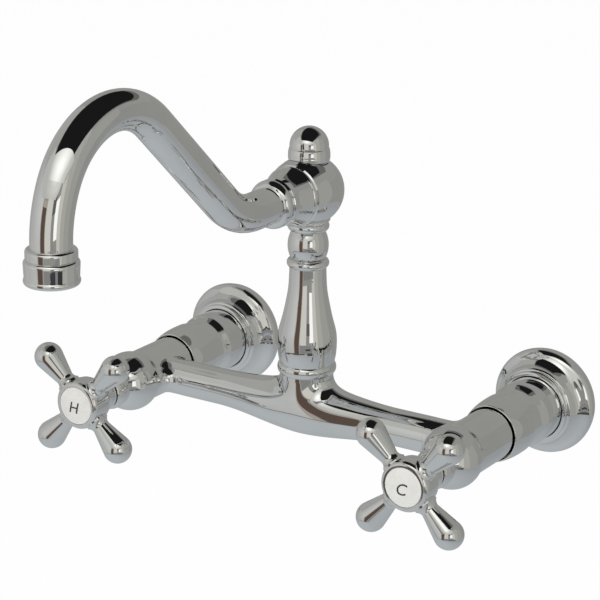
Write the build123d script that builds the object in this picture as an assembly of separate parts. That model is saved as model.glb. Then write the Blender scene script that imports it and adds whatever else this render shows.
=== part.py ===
from build123d import *
import os
from math import asin, atan2, cos, hypot, pi, radians, sin, sqrt

# Wall-mounted bridge faucet: two wall inlets, a bridge with a quarter-turn valve at each end, and a
# column that carries a swivelling spout. Millimetres. The wall is the plane y = 0, the faucet comes out
# towards -Y, +Z is up, +X is the cold side, and the origin is midway between the inlets.

# Driving dimensions of the whole
inlet_spacing = 203.2
bridge_reach = 84.4
valve_reach = 106.0
handle_reach = 148.0
hub_height = 120.1
outlet_height = 124.2

# Running fits and small clearances shared by the pieces
seal_squeeze = 0.1
thread_play = 0.1

# Wall flange, measured as radius and distance from the wall
flange_radius = 29.2
flange_wall = 1.2
flange_widest = 3.6
flange_rim_height = 7.4
flange_cove_start = 10.7
flange_lip_radius = 19.8
flange_lip_bore = 17.6
flange_lip_start = 14.5
flange_depth = 18.2

# Inlet shank and the union behind each leg
shank_start = 3.0
shank_radius = 17.3
shank_flare_start = 20.0
shank_flare_end = 37.0
shank_neck_radius = 16.15
shank_end = 56.0
shank_bore = 6.5
shank_groove_radius = 15.9
shank_groove_start = 14.4
shank_groove_end = 16.8
inlet_thread_radius = 9.3
inlet_thread_length = 15.0
nut_start = 47.6
nut_taper_start = 52.0
nut_end = 65.9
nut_radius = 16.9
nut_thread = 15.3
nut_opening = 14.45
nut_mouth = 14.95
washer_radius = 13.5
tail_start = 58.0
tail_bore = 9.0
ring_groove_start = 59.2
ring_groove_end = 60.5
ring_groove_radius = 13.2
ring_gap_angle = 24.0

# Cast bridge body
leg_radius = 14.2
valve_ball_radius = 16.3
valve_neck_fillet = 8.0
valve_face_radius = 9.6
valve_face = valve_reach + sqrt(valve_ball_radius ** 2 - valve_face_radius ** 2)
arm_top = 9.7
arm_bottom = 10.1
arm_half_width = 9.8
swell_top = 12.7
swell_bottom = 14.9
swell_half_width = 14.4
swell_reach = 56.0
bridge_stations = 8
boss_radius = 13.9
boss_top = 17.6
boss_fillet = 10.5
arm_leg_fillet = 8.0
waterway = 5.5
boss_thread = 9.5
boss_thread_floor = 8.0
valve_bore = 8.0
disc_bore = 7.5
seat_wall_start = 70.0
seat_start = 74.0
disc_bore_end = 92.9

# Valve cartridge, along the leg's axis
skirt_start = 76.2
skirt_radius = 7.3
skirt_bore = 6.5
seat_bore = 4.8
disc_radius = 6.4
disc_thickness = 2.8
disc_gap = 0.1
fixed_disc_start = 77.0
moving_disc_start = fixed_disc_start + disc_thickness + disc_gap
moving_disc_end = moving_disc_start + disc_thickness
port_inner = 1.9
port_outer = 5.2
port_angle = 70.0
window_start = 83.3
window_end = 89.8
window_width = 8.0
stop_bore = 5.2
stop_start = 90.6
thrust_shoulder = 93.1
o_ring_groove_start = 96.0
o_ring_groove_end = 98.4
o_ring_groove_radius = 6.4
neck_radius = 7.0
neck_end = 127.0

# Valve stem, its stop lug and its square drive
stem_radius = 4.0
stem_fit = 0.08
stem_end = 141.0
stem_waist = 3.6
dog_depth = 1.3
dog_width = 3.0
dog_length = 10.4
lug_first = 0.0
lug_last = 150.0
quarter_turn = 90.0
stop_play = 2.0
stem_groove_start = 98.0
stem_groove_end = 100.2
stem_groove_radius = 2.7
clip_start = 127.3
clip_end = 128.1
clip_groove_radius = 3.3
clip_radius = 5.6
clip_opening = 50.0
drive_square = 5.6
screw_radius = 1.6

# Trim nut on the valve's neck
bonnet_start = 121.4
bonnet_end = 129.0
bonnet_bead_radius = 10.35
bonnet_recess = 8.1
bonnet_recess_floor = 124.5

# Cross handle
hub_rear = 129.7
hub_front = 154.6
hub_recess = 1.6
handle_hub_radius = 13.4
arm_count = 4
arm_turn = 46.3
arm_start = 7.0
arm_root_reach = 13.4
arm_neck_radius = 4.7
arm_neck_reach = 16.6
arm_flare = 4.0
ball_reach = 31.5
ball_radius = 7.8
button_radius = 10.4
button_plug_radius = 5.9
button_floor = 152.0
button_shoulder = 154.9
button_top = 155.8
screw_head_radius = 3.3
screw_floor = 143.0

# Column, measured as radius and height
column_neck_radius = 14.3
column_top = 83.0
column_end_radius = 9.8
column_top_bead = 11.25
column_bore = 6.5
column_spigot_bottom = 8.5
barrel_bottom = 83.3
barrel_top = 103.4
barrel_neck_radius = 9.25
barrel_collar_radius = 10.3
barrel_thread = 7.0
barrel_thread_bottom = 72.0
barrel_socket_floor = 90.0

# Swivel post, spout hub and finial
post_radius = 8.2
post_fit = 0.08
post_bore = 4.4
post_thread = 6.0
post_top = 133.0
post_groove_radius = 6.6
post_groove_height = 2.4
post_lower_groove = 110.0
post_upper_groove = 126.6
post_port_radius = 2.8
port_ring_radius = 6.8
port_ring_half_height = 3.6
hub_ball_radius = 18.6
hub_foot = 104.2
hub_foot_radius = 11.5
hub_crown = 135.0
hub_passage = 7.0
hub_seat_radius = 11.4
bell_end = 15.2
bell_rim_radius = 16.2
bell_groove_radius = 15.4
bead_end = 18.4
washer_play = 0.1
swivel_washer_radius = 10.2
crown_washer_radius = 8.6
finial_foot = 135.25
finial_seat = 135.5
finial_foot_radius = 10.1
finial_radius = 11.0
finial_step = 142.6
finial_dome_radius = 10.25
finial_top = 154.1
finial_thread = 4.5
finial_thread_end = 144.6

# Spout, measured forwards from the wall and upwards
tube_radius = 9.8
tube_wall = 1.2
tube_start = 108.4
stub_end = 135.8
rise_radius = 41.4
rise_angle = 42.2
rise_run = 77.15
arch_radius = 45.1
arch_angle = 106.4
drop_radius = 61.7
tube_socket_end = 32.3
collar_start = 32.4
collar_end = 38.9
collar_radius = 12.8

# Outlet, measured as radius and height
ferrule_radius = 12.05
ferrule_top = 140.8
ferrule_bottom = 135.6
tube_end = 138.8
outlet_thread = 10.6
housing_radius = 12.95
housing_waist = 12.65
housing_bore = 10.6
housing_step = 133.0
lip_radius = 13.1
lip_height = 125.8
insert_bottom = 126.0
insert_top = 132.0
insert_wall = 1.6
aerator_pitch = 3.4
aerator_hole = 2.5

inlet_reach = inlet_spacing / 2
sides = {"hot": -1, "cold": 1}
base = (Align.CENTER, Align.CENTER, Align.MIN)


def outline(start, *steps):
    """Closed face in the XZ plane; a step is an end point, or a point on the way and an end point."""
    edges = []
    here = start
    for step in steps:
        if isinstance(step[0], tuple):
            through, there = step
            edges.append(ThreePointArc(here, through, there))
        else:
            there = step
            edges.append(Line(here, there))
        here = there
    edges.append(Line(here, start))
    return Plane.XZ * make_face(edges)


def turned(start, *steps):
    """Solid of revolution about +Z of an outline given in radius and height."""
    return revolve(outline(start, *steps), Axis.Z)


def ring(inner, outer, bottom, top):
    """Plain ring about +Z."""
    return turned((inner, bottom), (outer, bottom), (outer, top), (inner, top))


def rod(radius, bottom, top):
    """Plain round bar about +Z."""
    return Pos(0, 0, bottom) * Cylinder(radius, top - bottom, align=base)


def bar(width, depth, bottom, top):
    """Square-edged bar about +Z."""
    return Pos(0, 0, bottom) * Box(width, depth, top - bottom, align=base)


def dome(radius, height, top):
    """Outline step from a rim of the given radius and height over a round dome to the axis."""
    rise = top - height
    sphere = (radius ** 2 + rise ** 2) / (2 * rise)
    lean = asin(min(radius / sphere, 1.0))
    half = lean / 2 if rise < radius else (pi - lean) / 2
    return (sphere * sin(half), top - sphere + sphere * cos(half)), (0, top)


def sector(inner, outer, bottom, top, first, last):
    """Part of a ring about +Z between two angles in degrees, under a full turn."""
    middle = (first + last) / 2

    def at(radius, angle):
        return (radius * cos(radians(angle)), radius * sin(radians(angle)))

    edges = [
        Line(at(inner, first), at(outer, first)),
        ThreePointArc(at(outer, first), at(outer, middle), at(outer, last)),
        Line(at(outer, last), at(inner, last)),
        ThreePointArc(at(inner, last), at(inner, middle), at(inner, first)),
    ]
    return Pos(0, 0, bottom) * extrude(make_face(edges), top - bottom)


def leg_frame(side):
    """Frame of one leg: local +Z runs from the wall towards the user, local X and Y are world X and Z."""
    return Plane(origin=(side * inlet_reach, 0, 0), x_dir=(1, 0, 0), z_dir=(0, -1, 0)).location


def hub_frame():
    """Frame of the spout's stub: local +Z runs forwards from the column's axis at the hub's height."""
    return Plane(origin=(0, -bridge_reach, hub_height), x_dir=(1, 0, 0), z_dir=(0, -1, 0)).location


def column_frame():
    """Frame of the column: the world's own directions, on the column's axis."""
    return Pos(0, -bridge_reach, 0)


def outlet_frame():
    """Frame of the outlet: the world's own directions, on the outlet's axis."""
    return Pos(0, (spout_path() @ 1).Y, 0)


# Wall flanges, shanks and unions

def flange():
    """Pressed escutcheon: rolled rim, cove and an upstanding lip round the shank."""
    foot_radius = flange_radius - 0.9
    cove_radius = flange_radius - 4.1
    lip_edge = 0.8
    return turned(
        (foot_radius, 0),
        ((flange_radius, flange_widest), (flange_radius - 1.1, flange_rim_height)),
        ((flange_radius - 2.3, 9.3), (cove_radius, flange_cove_start)),
        ((21.8, 11.9), (flange_lip_radius, flange_lip_start)),
        (flange_lip_radius, flange_depth - 0.7),
        ((flange_lip_radius - 0.25, flange_depth - 0.2), (flange_lip_radius - lip_edge, flange_depth)),
        (flange_lip_bore, flange_depth),
        (flange_lip_bore, flange_lip_start - 0.9),
        ((20.8, 10.9), (cove_radius - 0.7, flange_cove_start - 1.1)),
        ((flange_radius - 3.2, 8.3), (flange_radius - 2.1, 6.6)),
        ((flange_radius - flange_wall, flange_widest), (foot_radius - flange_wall, 0)),
    )


def flange_o_ring():
    """Ring in the shank's groove that grips the flange's lip and keeps the flange on the wall."""
    bottom = shank_groove_start + seal_squeeze
    return ring(shank_groove_radius, flange_lip_bore, bottom, shank_groove_end - seal_squeeze)


def inlet_shank():
    """Threaded shank: female pipe thread at the wall, flared neck, and the union's male thread."""
    thread_end = shank_start + inlet_thread_length
    union_thread = nut_thread - thread_play
    return turned(
        (inlet_thread_radius, shank_start),
        (shank_radius, shank_start),
        (shank_radius, shank_groove_start),
        (shank_groove_radius, shank_groove_start),
        (shank_groove_radius, shank_groove_end),
        (shank_radius, shank_groove_end),
        (shank_radius, shank_flare_start),
        ((16.6, 27.5), (shank_neck_radius, shank_flare_end)),
        (shank_neck_radius, nut_start),
        (union_thread, nut_start),
        (union_thread, shank_end),
        (shank_bore, shank_end),
        (shank_bore, thread_end),
        (inlet_thread_radius, thread_end),
    )


def union_washer():
    """Flat fibre washer between the shank and the leg's tail."""
    return ring(tail_bore, washer_radius, shank_end, tail_start)


def retaining_ring():
    """Split ring in the leg's groove that the coupling nut pulls on."""
    first = ring_gap_angle / 2
    outer = nut_thread - 2 * thread_play
    return sector(ring_groove_radius, outer, ring_groove_start, ring_groove_end, first, 360 - first)


def coupling_nut():
    """Round sleeve nut: thread at the wall end, an arched taper to a thin rim, and an open mouth."""
    rim_radius = nut_radius - 1.35
    return turned(
        (nut_thread, nut_start),
        (nut_radius, nut_start),
        (nut_radius, nut_taper_start),
        ((nut_radius - 0.36, 59.2), (rim_radius, nut_end - 0.5)),
        ((rim_radius - 0.12, nut_end - 0.12), (rim_radius - 0.4, nut_end)),
        (nut_mouth, nut_end),
        (nut_opening, nut_end - 1.6),
        (nut_opening, ring_groove_end),
        (nut_thread, ring_groove_end),
    )


# Cast bridge body

def valve_leg():
    """Outside of one leg: tail with the ring's groove, straight barrel, and the valve's ball."""
    fillet_centre = leg_radius + valve_neck_fillet
    rise = sqrt((valve_neck_fillet + valve_ball_radius) ** 2 - fillet_centre ** 2)
    fillet_start = valve_reach - rise
    lean = atan2(rise, fillet_centre)
    ball_meet = (valve_ball_radius * cos(lean), valve_reach - valve_ball_radius * sin(lean))
    through = (
        fillet_centre - valve_neck_fillet * cos(lean / 2),
        fillet_start + valve_neck_fillet * sin(lean / 2),
    )
    return turned(
        (0, tail_start),
        (leg_radius, tail_start),
        (leg_radius, ring_groove_start),
        (ring_groove_radius, ring_groove_start),
        (ring_groove_radius, ring_groove_end),
        (leg_radius, ring_groove_end),
        (leg_radius, fillet_start),
        (through, ball_meet),
        ((valve_ball_radius, valve_reach), (valve_face_radius, valve_face)),
        (0, valve_face),
    )


def bridge_section(reach):
    """Oval section of the bridge at a distance from the column's axis; it swells towards the middle."""
    swell = cos(pi * reach / (2 * swell_reach)) ** 2 if abs(reach) < swell_reach else 0
    top = arm_top + (swell_top - arm_top) * swell
    bottom = arm_bottom + (swell_bottom - arm_bottom) * swell
    half_width = arm_half_width + (swell_half_width - arm_half_width) * swell
    place = Plane(origin=(reach, 0, (top - bottom) / 2), x_dir=(0, 1, 0), z_dir=(1, 0, 0))
    return place * Ellipse(half_width, (top + bottom) / 2)


def bridge_barrel():
    """Both arms and the boss between them, with one sweeping fillet up to the column's seat."""
    step = inlet_reach / bridge_stations
    stations = range(-bridge_stations, bridge_stations + 1)
    arms = loft([bridge_section(index * step) for index in stations])
    boss = rod(boss_radius, 0, 2 * boss_top)
    joined = arms + boss
    return fillet(new_edges(arms, boss, combined=joined), boss_fillet)


def leg_bores():
    """The leg's stepped bore: tail, seat hole, disc chamber and cartridge thread."""
    return (
        rod(tail_bore, tail_start, seat_wall_start)
        + rod(waterway, seat_wall_start, seat_start)
        + rod(disc_bore, seat_start, disc_bore_end)
        + rod(valve_bore, disc_bore_end, valve_face)
    )


def bridge_body():
    """One casting: boss for the column, two arms and two valve legs, with its waterways."""
    body = column_frame() * bridge_barrel()
    for side in sides.values():
        leg = leg_frame(side) * valve_leg()
        joined = body + leg
        body = fillet(new_edges(body, leg, combined=joined), arm_leg_fillet)
    body -= column_frame() * rod(2 * boss_radius, boss_top, 3 * boss_top)
    body -= column_frame() * rod(boss_thread, boss_thread_floor, boss_top)
    body -= column_frame() * rod(waterway, 0, boss_thread_floor)
    body -= column_frame() * Rot(0, 90, 0) * Cylinder(waterway, inlet_spacing)
    for side in sides.values():
        body -= leg_frame(side) * leg_bores()
    return body


# Quarter-turn cartridges

def sided(first, last, side):
    """Angles as given on the hot side, and mirrored on the cold side."""
    if side < 0:
        return first, last
    return 180 - last, 180 - first


def cartridge_body(side):
    """Turned brass headwork with a groove, side windows and the rib that stops the quarter turn."""
    stem_bore = stem_radius + stem_fit
    body = turned(
        (skirt_bore, skirt_start),
        (skirt_radius, skirt_start),
        (skirt_radius, disc_bore_end),
        (valve_bore, disc_bore_end),
        (valve_bore, o_ring_groove_start),
        (o_ring_groove_radius, o_ring_groove_start),
        (o_ring_groove_radius, o_ring_groove_end),
        (valve_bore, o_ring_groove_end),
        (valve_bore, valve_face),
        (neck_radius, valve_face),
        (neck_radius, neck_end),
        (stem_bore, neck_end),
        (stem_bore, thrust_shoulder),
        (skirt_bore, thrust_shoulder),
    )
    body -= bar(2 * valve_bore, window_width, window_start, window_end)
    rib_first = lug_last + quarter_turn + stop_play
    rib_last = 360 + lug_first - stop_play
    first, last = sided(rib_first, rib_last, side)
    return body + sector(stop_bore, skirt_bore + 0.2, stop_start, thrust_shoulder, first, last)


def cartridge_o_ring():
    """Seal between the cartridge and the casting."""
    bottom = o_ring_groove_start + seal_squeeze
    return ring(o_ring_groove_radius, valve_bore, bottom, o_ring_groove_end - seal_squeeze)


def seat_seal():
    """Rubber seat between the casting and the fixed disc."""
    return ring(seat_bore, disc_radius, seat_start, fixed_disc_start)


def ported_disc(bottom, port_middle):
    """Ceramic disc with two opposite sector ports."""
    top = bottom + disc_thickness
    disc = rod(disc_radius, bottom, top)
    for middle in (port_middle, port_middle + 180):
        first = middle - port_angle / 2
        disc -= sector(port_inner, port_outer, bottom, top, first, first + port_angle)
    return disc


def fixed_disc():
    """Lower disc, its ports towards the arms."""
    return ported_disc(fixed_disc_start, 0)


def moving_disc():
    """Upper disc, a quarter turn away from the fixed ports at rest, with the stem's slot."""
    disc = ported_disc(moving_disc_start, 90)
    return disc - bar(2 * disc_radius, dog_width, moving_disc_end - dog_depth, moving_disc_end)


def stem(side):
    """Valve stem: dog, thrust collar with the stop's lug, round shank, and square drive."""
    dog_top = moving_disc_end + 0.6
    collar_bottom = stop_start + 0.2
    collar_top = thrust_shoulder - washer_play
    collar_radius = stop_bore - 0.2
    shank_top = hub_rear + hub_recess
    body = bar(dog_length, dog_width, moving_disc_end - dog_depth, dog_top)
    body += turned(
        (0, dog_top),
        (stem_waist, dog_top),
        (stem_waist, collar_bottom),
        (collar_radius, collar_bottom),
        (collar_radius, collar_top),
        (stem_radius, collar_top),
        (stem_radius, stem_groove_start),
        (stem_groove_radius, stem_groove_start),
        (stem_groove_radius, stem_groove_end),
        (stem_radius, stem_groove_end),
        (stem_radius, clip_start),
        (clip_groove_radius, clip_start),
        (clip_groove_radius, clip_end),
        (stem_radius, clip_end),
        (stem_radius, shank_top),
        (0, shank_top),
    )
    first, last = sided(lug_first, lug_last, side)
    body += sector(collar_radius - 0.4, skirt_bore - 0.3, collar_bottom, collar_top, first, last)
    body += bar(drive_square, drive_square, shank_top, stem_end)
    return body - rod(screw_radius, stem_end - 9, stem_end)


def stem_o_ring():
    """Seal that turns with the stem."""
    bottom = stem_groove_start + seal_squeeze
    return ring(stem_groove_radius, stem_radius + stem_fit / 2, bottom, stem_groove_end - seal_squeeze)


def stem_clip():
    """Open clip that keeps the stem in the cartridge."""
    first = clip_opening / 2
    return sector(clip_groove_radius, clip_radius, clip_start, clip_end, first, 360 - first)


def bonnet_ring():
    """Beaded trim nut on the cartridge's neck."""
    return turned(
        (neck_radius, valve_face),
        (valve_face_radius, valve_face),
        (valve_face_radius, bonnet_start),
        ((bonnet_bead_radius, 125.4), (8.9, bonnet_end)),
        (bonnet_recess, bonnet_end),
        (bonnet_recess, bonnet_recess_floor),
        (neck_radius, bonnet_recess_floor),
    )


# Cross handles

def handle_arm(angle):
    """Teardrop arm: flared root, short neck, cone and ball, all of one turned outline."""
    run = ball_reach - arm_neck_reach
    lean = asin(ball_radius / hypot(run, arm_neck_radius)) - atan2(arm_neck_radius, run)
    meet = (ball_radius * cos(lean), ball_reach - ball_radius * sin(lean))
    flare_turn = asin((arm_neck_reach - arm_root_reach) / arm_flare)
    flare_axis = arm_neck_radius + arm_flare
    root_radius = flare_axis - arm_flare * cos(flare_turn)
    through = (flare_axis - arm_flare * cos(flare_turn / 2), arm_neck_reach - arm_flare * sin(flare_turn / 2))
    diagonal = ball_radius * sqrt(0.5)
    arm = turned(
        (0, arm_start),
        (root_radius, arm_start),
        (root_radius, arm_root_reach),
        (through, (arm_neck_radius, arm_neck_reach)),
        meet,
        ((diagonal, ball_reach + diagonal), (0, ball_reach + ball_radius)),
    )
    return Pos(0, 0, handle_reach) * Rot(0, 0, angle) * Rot(0, 90, 0) * arm


def handle():
    """Cross handle: bell-shaped hub with four arms, a square socket and a seat for the button."""
    recess_floor = hub_rear + hub_recess
    body = turned(
        (0, hub_rear),
        (8.6, hub_rear),
        ((9.0, hub_rear + 0.7), (8.8, recess_floor)),
        ((10.3, 136.0), (handle_hub_radius - 0.5, 142.0)),
        ((handle_hub_radius + 0.1, 147.0), (handle_hub_radius, 152.3)),
        ((12.7, 153.9), (11.4, hub_front)),
        (0, hub_front),
    )
    for index in range(arm_count):
        body += handle_arm(arm_turn + index * 360 / arm_count)
    socket_width = drive_square + 0.1
    body -= rod(button_radius + 0.1, button_floor, hub_front + 1)
    body -= rod(button_plug_radius + 0.1, screw_floor, button_floor)
    body -= rod(screw_radius + 0.2, stem_end, screw_floor)
    body -= bar(socket_width, socket_width, hub_rear, stem_end)
    return body - rod(6.2, hub_rear, recess_floor)


def index_button():
    """Glazed button with a domed face, pushed into the handle's front."""
    plug_bottom = button_floor - 2.5
    face_radius = button_radius - 0.8
    return turned(
        (0, plug_bottom),
        (button_plug_radius, plug_bottom),
        (button_plug_radius, button_floor),
        (button_radius, button_floor),
        (button_radius, button_shoulder - 0.7),
        ((button_radius - 0.25, button_shoulder - 0.15), (face_radius, button_shoulder)),
        dome(face_radius, button_shoulder, button_top),
    )


def handle_screw():
    """Pan-head screw that holds the handle on the stem."""
    head_edge = screw_floor + 1.4
    head_top = screw_floor + 2.3
    return turned(
        (0, stem_end - 8),
        (screw_radius, stem_end - 8),
        (screw_radius, screw_floor),
        (screw_head_radius, screw_floor),
        (screw_head_radius, head_edge),
        (1.8, head_top),
        (0, head_top),
    )


# Column, swivel and finial

def column():
    """Vase-shaped column with a bead at its foot and another at its top."""
    foot_start = (column_neck_radius, 19.7)
    foot_end = (14.6, 25.7)
    vase_start = (14.8, 26.2)
    vase_end = (column_end_radius, 78.4)
    vase = Spline(
        vase_start, (15.86, 35.4), (15.3, 43.0), (13.87, 48.5), (11.42, 59.7), (10.3, 66.6), (9.9, 73.5), vase_end,
        tangents=((0.5, 2.2), (0, 1)),
    )
    edges = [
        Line((column_bore, column_spigot_bottom), (boss_thread, column_spigot_bottom)),
        Line((boss_thread, column_spigot_bottom), (boss_thread, boss_top)),
        Line((boss_thread, boss_top), (column_neck_radius, boss_top)),
        Line((column_neck_radius, boss_top), foot_start),
        ThreePointArc(foot_start, (15.75, 22.7), foot_end),
        Line(foot_end, vase_start),
        vase,
        ThreePointArc(vase_end, (column_top_bead, 80.7), (column_end_radius, column_top)),
        Line((column_end_radius, column_top), (barrel_thread, column_top)),
        Line((barrel_thread, column_top), (barrel_thread, barrel_thread_bottom)),
        Line((barrel_thread, barrel_thread_bottom), (column_bore, barrel_thread_bottom)),
        Line((column_bore, barrel_thread_bottom), (column_bore, column_spigot_bottom)),
    ]
    return revolve(Plane.XZ * make_face(edges), Axis.Z)


def column_barrel():
    """Small barrel and collar that screw into the column and carry the swivel post."""
    thread_bottom = barrel_thread_bottom + 0.2
    return turned(
        (post_bore, thread_bottom),
        (barrel_thread, thread_bottom),
        (barrel_thread, column_top),
        (9.1, column_top),
        (9.4, barrel_bottom + 0.4),
        ((10.82, 89.8), (barrel_neck_radius, 97.3)),
        (barrel_neck_radius, 98.3),
        ((11.05, 100.6), (barrel_collar_radius, 102.9)),
        (barrel_collar_radius, barrel_top),
        (post_thread, barrel_top),
        (post_thread, barrel_socket_floor),
        (post_bore, barrel_socket_floor),
    )


def swivel_post():
    """Hollow post that the spout turns on: cross ports in a ring groove between two seals."""
    port_bottom = hub_height - port_ring_half_height
    port_top = hub_height + port_ring_half_height
    post = turned(
        (post_bore, barrel_socket_floor),
        (post_thread, barrel_socket_floor),
        (post_thread, barrel_top),
        (post_radius, barrel_top),
        (post_radius, post_lower_groove),
        (post_groove_radius, post_lower_groove),
        (post_groove_radius, post_lower_groove + post_groove_height),
        (post_radius, post_lower_groove + post_groove_height),
        (post_radius, port_bottom),
        (port_ring_radius, port_bottom),
        (port_ring_radius, port_top),
        (post_radius, port_top),
        (post_radius, post_upper_groove),
        (post_groove_radius, post_upper_groove),
        (post_groove_radius, post_upper_groove + post_groove_height),
        (post_radius, post_upper_groove + post_groove_height),
        (post_radius, post_top),
        (finial_thread, post_top),
        (finial_thread, finial_thread_end - 0.2),
        (0, finial_thread_end - 0.2),
        (0, port_top - 0.5),
        (post_bore, port_top - 0.5),
    )
    for turn in (0, 90):
        post -= Pos(0, 0, hub_height) * Rot(0, 0, turn) * Rot(0, 90, 0) * Cylinder(post_port_radius, 2 * post_radius)
    return post


def post_o_rings():
    """The two seals on the swivel post."""
    outer = post_radius + post_fit / 2
    rings = []
    for groove in (post_lower_groove, post_upper_groove):
        top = groove + post_groove_height - seal_squeeze
        rings.append(ring(post_groove_radius, outer, groove + seal_squeeze, top))
    return rings


def swivel_washer():
    """Thin bearing washer under the hub."""
    return ring(post_radius, swivel_washer_radius, barrel_top, hub_foot - washer_play)


def crown_washer():
    """Thin bearing washer under the finial."""
    return ring(finial_thread, crown_washer_radius, hub_crown + washer_play, finial_seat)


def finial():
    """Acorn nut that caps the swivel post and keeps the spout on."""
    seat_radius = crown_washer_radius + 0.1
    step_radius = finial_dome_radius + 0.25
    dome_start = (finial_dome_radius, finial_step + 0.3)
    return turned(
        (finial_thread, finial_seat),
        (seat_radius, finial_seat),
        (seat_radius, finial_foot),
        (finial_foot_radius, finial_foot),
        ((finial_radius - 0.25, 136.4), (finial_radius, 138.8)),
        ((finial_radius - 0.1, 141.0), (step_radius, finial_step)),
        dome_start,
        dome(*dome_start, finial_top),
        (0, finial_thread_end),
        (finial_thread, finial_thread_end),
    )


# Spout

def spout_hub():
    """Ball hub that runs forwards as a beaded bell, bored for the post and for the spout's tube."""
    diagonal = hub_ball_radius * sqrt(0.5)
    bell_middle = (hub_ball_radius - (hub_ball_radius - bell_rim_radius) / 4, bell_end / 2)
    body = hub_frame() * turned(
        (0, -hub_ball_radius),
        ((diagonal, -diagonal), (hub_ball_radius, 0)),
        (bell_middle, (bell_rim_radius, bell_end)),
        (bell_groove_radius, bell_end + 0.5),
        (bell_groove_radius, bell_end + 0.9),
        ((bell_groove_radius + 0.55, bell_end + 2.0), (bell_groove_radius - 0.1, bead_end)),
        ((14.15, 21.8), (12.9, 28.4)),
        (collar_radius, tube_socket_end - 0.4),
        (collar_radius - 0.4, tube_socket_end),
        (0, tube_socket_end),
    )
    body += column_frame() * rod(hub_foot_radius, hub_foot, hub_height)
    body -= column_frame() * rod(hub_ball_radius, hub_foot - 20, hub_foot)
    body -= column_frame() * rod(hub_seat_radius, hub_crown, hub_crown + 20)
    body -= column_frame() * rod(post_radius + post_fit, hub_foot - 1, hub_crown + 1)
    body -= hub_frame() * rod(hub_passage, 0, tube_socket_end)
    return body - hub_frame() * rod(tube_radius, tube_start - bridge_reach, tube_socket_end)


def spout_collar():
    """Bead brazed round the tube where it leaves the hub."""
    return hub_frame() * turned(
        (tube_radius, collar_start),
        (11.4, collar_start),
        ((collar_radius, 35.2), (10.3, collar_end)),
        (tube_radius, collar_end),
    )


def spout_path():
    """Centre line of the tube: forwards, up, over the arch and down, tangent all the way."""
    place = Plane(origin=(0, 0, 0), x_dir=(0, -1, 0), z_dir=(-1, 0, 0))
    stub = Line((tube_start, hub_height), (stub_end, hub_height))
    rise = JernArc(stub @ 1, stub % 1, rise_radius, rise_angle)
    run = Line(rise @ 1, rise @ 1 + rise_run * (rise % 1))
    arch = JernArc(run @ 1, run % 1, arch_radius, -arch_angle)
    drop_angle = 90 + rise_angle - arch_angle
    drop = JernArc(arch @ 1, arch % 1, drop_radius, -drop_angle)
    end = Line(drop @ 1, ((drop @ 1).X, tube_end))
    return place * Wire([stub, rise, run, arch, drop, end])


def spout_tube():
    """Bent tube of one bore."""
    path = spout_path()
    start = Plane(origin=path @ 0, z_dir=path % 0)
    outside = sweep(start * Circle(tube_radius), path)
    return outside - sweep(start * Circle(tube_radius - tube_wall), path)


def outlet_ferrule():
    """Collar brazed on the tube's end, threaded inside for the aerator."""
    notch_radius = ferrule_radius - 0.45
    shoulder = ferrule_top - 1.5
    return turned(
        (outlet_thread, ferrule_bottom),
        (notch_radius, ferrule_bottom),
        (notch_radius, ferrule_bottom + 0.25),
        (ferrule_radius, ferrule_bottom + 0.6),
        (ferrule_radius, shoulder),
        ((ferrule_radius - 0.45, shoulder + 1.05), (ferrule_radius - 1.6, ferrule_top)),
        (tube_radius, ferrule_top),
        (tube_radius, tube_end),
        (outlet_thread, tube_end),
    )


def aerator_housing():
    """Housing of the aerator: rounded shoulder, slight taper, and a rolled lip round the outlet."""
    bore_above = tube_radius - tube_wall
    shoulder = ferrule_bottom - 2.2
    lip_rise = lip_height - outlet_height
    return turned(
        (housing_bore, outlet_height),
        (lip_radius - 0.9, outlet_height),
        ((lip_radius, lip_height), (housing_waist, lip_height + lip_rise - 0.3)),
        (housing_radius, shoulder),
        ((housing_radius - 0.2, ferrule_bottom - 0.8), (housing_radius - 0.95, ferrule_bottom)),
        (outlet_thread, ferrule_bottom),
        (outlet_thread, tube_end - 0.2),
        (bore_above, tube_end - 0.2),
        (bore_above, housing_step),
        (housing_bore, housing_step),
    )


def aerator_insert():
    """Moulded flow straightener: a cup whose floor is a grid of square holes."""
    cup = rod(housing_bore, insert_bottom, insert_top)
    cup -= rod(housing_bore - insert_wall, insert_bottom + insert_wall, insert_top)
    reach = range(-2, 3)
    for across in reach:
        for along in reach:
            if abs(across) + abs(along) <= 3:
                place = Pos(across * aerator_pitch, along * aerator_pitch, 0)
                cup -= place * bar(aerator_hole, aerator_hole, insert_bottom, insert_top)
    return cup


def aerator_washer():
    """Rubber washer between the insert and the housing."""
    return ring(tube_radius - tube_wall, housing_bore, insert_top, housing_step)


def save(name, shape):
    """Write one piece, or a group of like pieces, as parts/NAME.step."""
    if isinstance(shape, list):
        shape = Compound(children=shape)
    export_step(shape, f"parts/{name}.step")


os.makedirs("parts", exist_ok=True)

save("bridge_body", bridge_body())
save("column", column_frame() * column())
save("column_barrel", column_frame() * column_barrel())
save("swivel_post", column_frame() * swivel_post())
save("post_o_rings", [column_frame() * seal for seal in post_o_rings()])
save("swivel_washer", column_frame() * swivel_washer())
save("crown_washer", column_frame() * crown_washer())
save("finial", column_frame() * finial())
save("spout_hub", spout_hub())
save("spout_collar", spout_collar())
save("spout_tube", spout_tube())
save("outlet_ferrule", outlet_frame() * outlet_ferrule())
save("aerator_housing", outlet_frame() * aerator_housing())
save("aerator_insert", outlet_frame() * aerator_insert())
save("aerator_washer", outlet_frame() * aerator_washer())

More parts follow.
